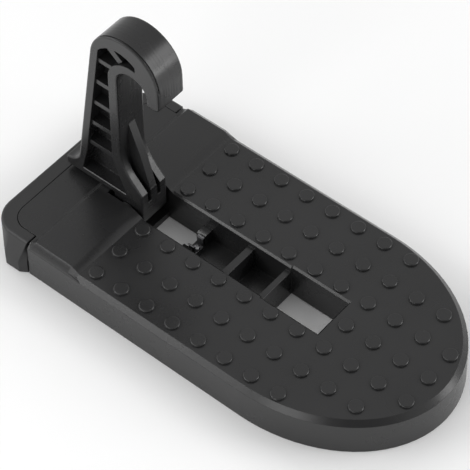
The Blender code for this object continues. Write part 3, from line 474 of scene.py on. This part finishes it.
def makeToeBeads():
    # a fine raised bead edges the floor of each side pocket
    length = toeBead["front"] - toeBead["rear"]
    middle = (toeBead["front"] + toeBead["rear"]) / 2
    beads = []
    for side in (-1, 1):
        bpy.ops.object.select_all(action="DESELECT")
        bpy.ops.mesh.primitive_cylinder_add(
            vertices=toeBead["corners"], radius=toeBead["radius"], depth=length,
            location=(middle, side * toeBead["side"], toeBead["height"]),
            rotation=(0, radians(90), 0))
        bead = bpy.context.active_object
        bpy.ops.object.transform_apply(location=True, rotation=True, scale=True)
        beads.append(bead)
    piece = joinPieces(beads, "toeBeads")
    softenEdges(piece, toeBead)
    handOver(piece, "hook_arm", "arm", armPlastic)


clipPiece = {"edgeWidth": 0.00009, "edgeSegments": 2, "edgeAngle": 28, "smoothAngle": 40}
clipScrewPiece = {
    "edgeWidth": 0.00006, "edgeSegments": 2, "edgeAngle": 40, "smoothAngle": 40,
    "recessRim": 0.00035, "recessDepth": 0.0004, "crownRoom": 0.00001,
}


def makeStowClip():
    piece = copyOfNode("stow_clip", "stowClip")
    softenEdges(piece, clipPiece)
    handOver(piece, "stow_clip", "step", springSteel)


def makeClipScrew():
    # the head gets its driver recess
    piece = copyOfNode("stow_clip_screw", "stowClipScrew")
    lowest = max(corner.co.z for corner in piece.data.vertices) - clipScrewPiece["crownRoom"]
    pickFaces(piece, lambda face: face.normal.z > upward and face.center.z > lowest)
    bpy.ops.mesh.inset(thickness=clipScrewPiece["recessRim"], depth=0)
    bpy.ops.mesh.extrude_region_move(
        TRANSFORM_OT_translate={"value": (0, 0, -clipScrewPiece["recessDepth"])})
    leaveEdit()
    softenEdges(piece, clipScrewPiece)
    handOver(piece, "stow_clip_screw", "step", screwSteel)


makeStuds(makeTreadPlate())
makeBumper()
makeHookArm()
makeToeBeads()
makeStowClip()
makeClipScrew()


def dressNode(nodeName, material):
    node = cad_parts[nodeName]
    node.data.materials.clear()
    node.data.materials.append(material)


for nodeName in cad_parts:
    if nodeName.startswith("thrust_washer"):
        dressNode(nodeName, washerNylon)
    elif nodeName not in replacedNodes:
        dressNode(nodeName, platedSteel)
print("stage 4: carried-over nodes dressed")


# the floor's glow is painted lower under the part's footprint, a painted shade there
studio = {
    "floorSize": 6, "floorHeight": -0.0002, "floorColour": (0.90, 0.90, 0.90),
    "floorGlow": 0.12, "paintedShadeGlow": 0.04, "glowStart": 1.02, "glowFull": 1.35,
    "halfLength": 0.0958, "halfWidth": 0.0503, "white": (1, 1, 1, 1), "worldLight": 0.68,
    "darkSide": (0.46, -0.53, 0.71), "darkShare": 0.2, "darkEdge": 0.80, "darkCore": 0.95,
}


def makeFloor():
    bpy.ops.object.select_all(action="DESELECT")
    bpy.ops.mesh.primitive_plane_add(size=studio["floorSize"],
                                     location=(0, 0, studio["floorHeight"]))
    floor = bpy.context.active_object
    floor.name = "studioFloor"
    material = bpy.data.materials.new("paleFloor")
    material.use_nodes = True
    nodes, links = material.node_tree.nodes, material.node_tree.links
    nodes.clear()
    output = nodes.new("ShaderNodeOutputMaterial")
    matt = nodes.new("ShaderNodeBsdfDiffuse")
    matt.inputs["Color"].default_value = (*studio["floorColour"], 1)
    glow = nodes.new("ShaderNodeEmission")
    path = nodes.new("ShaderNodeLightPath")
    seen = nodes.new("ShaderNodeMath")
    seen.operation = "MAXIMUM"
    links.new(path.outputs["Is Camera Ray"], seen.inputs[0])
    links.new(path.outputs["Is Glossy Ray"], seen.inputs[1])
    # under the part the floor's glow is painted lower, a painted shade over the footprint that
    # keeps the floor in its shadow, and further out the glow fades to white
    coords = nodes.new("ShaderNodeTexCoord")
    split = nodes.new("ShaderNodeSeparateXYZ")
    links.new(coords.outputs["Object"], split.inputs[0])
    reach = nodes.new("ShaderNodeMath")
    reach.operation = "MAXIMUM"
    halves = (("X", studio["halfLength"]), ("Y", studio["halfWidth"]))
    for number, (axis, half) in enumerate(halves):
        size = nodes.new("ShaderNodeMath")
        size.operation = "ABSOLUTE"
        links.new(split.outputs[axis], size.inputs[0])
        share = nodes.new("ShaderNodeMath")
        share.operation = "DIVIDE"
        share.inputs[1].default_value = half
        links.new(size.outputs[0], share.inputs[0])
        links.new(share.outputs[0], reach.inputs[number])
    glowWithPaintedShade = addRange(nodes, links, reach.outputs[0], studio["paintedShadeGlow"], studio["floorGlow"],
                       studio["glowStart"], studio["glowFull"])
    strength = nodes.new("ShaderNodeMath")
    strength.operation = "MULTIPLY"
    links.new(glowWithPaintedShade, strength.inputs[1])
    links.new(seen.outputs[0], strength.inputs[0])
    links.new(strength.outputs[0], glow.inputs["Strength"])
    both = nodes.new("ShaderNodeAddShader")
    links.new(matt.outputs[0], both.inputs[0])
    links.new(glow.outputs[0], both.inputs[1])
    links.new(both.outputs[0], output.inputs["Surface"])
    floor.data.materials.append(material)


def makeWorld():
    world = bpy.data.worlds.new("studioWorld")
    bpy.context.scene.world = world
    world.use_nodes = True
    nodes, links = world.node_tree.nodes, world.node_tree.links
    nodes.clear()
    output = nodes.new("ShaderNodeOutputWorld")
    # an even pale studio, with its dark side where the photographer stood
    coords = nodes.new("ShaderNodeTexCoord")
    towards = nodes.new("ShaderNodeVectorMath")
    towards.operation = "DOT_PRODUCT"
    towards.inputs[1].default_value = studio["darkSide"]
    links.new(coords.outputs["Generated"], towards.inputs[0])
    level = addRange(nodes, links, towards.outputs["Value"], studio["worldLight"],
                     studio["worldLight"] * studio["darkShare"], studio["darkEdge"],
                     studio["darkCore"])
    light = nodes.new("ShaderNodeBackground")
    light.inputs["Color"].default_value = studio["white"]
    links.new(level, light.inputs["Strength"])
    white = nodes.new("ShaderNodeBackground")
    white.inputs["Color"].default_value = studio["white"]
    white.inputs["Strength"].default_value = 1.0
    path = nodes.new("ShaderNodeLightPath")
    mixed = nodes.new("ShaderNodeMixShader")
    links.new(path.outputs["Is Camera Ray"], mixed.inputs["Fac"])
    links.new(light.outputs[0], mixed.inputs[1])
    links.new(white.outputs[0], mixed.inputs[2])
    links.new(mixed.outputs[0], output.inputs["Surface"])


# place, aim and size in metres, power in watts
softboxes = {
    "farRightLight": {
        "place": (0.62, 0.58, 0.53), "aim": (0, 0, 0.02), "size": (0.5, 0.5), "power": 2.55,
    },
    "lowRightLight": {
        "place": (0.85, 0.49, 0.19), "aim": (0, 0, 0.03), "size": (0.3, 0.25), "power": 1.2,
    },
    "nearLeftLight": {
        "place": (-0.62, -0.58, 0.53), "aim": (0, 0, 0.02), "size": (0.4, 0.4), "power": 2.05,
    },
    "nearLight": {
        "place": (0.05, -0.85, 0.53), "aim": (0, 0, 0.02), "size": (0.4, 0.4), "power": 1.4,
    },
    "edgeLight": {
        "place": (-0.40, -0.76, 0.50), "aim": (0, 0, 0.02), "size": (0.2, 0.2), "power": 0.45,
    },
    "rearLight": {
        "place": (-0.85, 0.0, 0.53), "aim": (0, 0, 0.02), "size": (0.5, 0.5), "power": 0.9,
    },
}


def addSoftbox(name, place, aim, size, power):
    lamp = bpy.data.lights.new(name, "AREA")
    lamp.shape = "RECTANGLE"
    lamp.size, lamp.size_y = size
    lamp.energy = power
    softbox = bpy.data.objects.new(name, lamp)
    bpy.context.scene.collection.objects.link(softbox)
    turned = (Vector(aim) - Vector(place)).to_track_quat("-Z", "Y").to_matrix().to_4x4()
    softbox.matrix_world = Matrix.Translation(place) @ turned


# angles in degrees; the offset from the deck point counts stud pitches right, down and ahead
photoView = {
    "turn": 40.768, "tilt": 50.621, "roll": 1.25, "studPitch": 0.013,
    "right": -2.124, "down": -0.758, "ahead": 69.152, "deckPoint": (-0.04385, 0, 0.0175),
    "sensorWidth": 36, "focalLength": 173.34, "clipEnd": 10,
}


def makeCamera():
    # turned and tilted as the photograph was taken, from a long lens
    turn, tilt, roll = (radians(photoView[angle]) for angle in ("turn", "tilt", "roll"))
    back = Vector((sin(turn) * cos(tilt), -cos(turn) * cos(tilt), sin(tilt)))
    forward = -back
    level = forward.cross(Vector((0, 0, 1))).normalized()
    down = forward.cross(level)
    right = level * cos(roll) + down * sin(roll)
    down = down * cos(roll) - level * sin(roll)
    offset = right * photoView["right"] + down * photoView["down"] + forward * photoView["ahead"]
    place = -offset * photoView["studPitch"] + Vector(photoView["deckPoint"])
    lens = bpy.data.cameras.new("photoCamera")
    lens.sensor_fit = "HORIZONTAL"
    lens.sensor_width = photoView["sensorWidth"]
    lens.lens = photoView["focalLength"]
    lens.clip_end = photoView["clipEnd"]
    camera = bpy.data.objects.new("photoCamera", lens)
    bpy.context.scene.collection.objects.link(camera)
    matrix = Matrix((right, -down, -forward)).transposed().to_4x4()
    matrix.translation = place
    camera.matrix_world = matrix
    bpy.context.scene.camera = camera


makeFloor()
makeWorld()
for name, settings in softboxes.items():
    addSoftbox(name, **settings)
makeCamera()
bpy.context.scene.view_settings.view_transform = "Standard"
print("stage 5: studio ready")
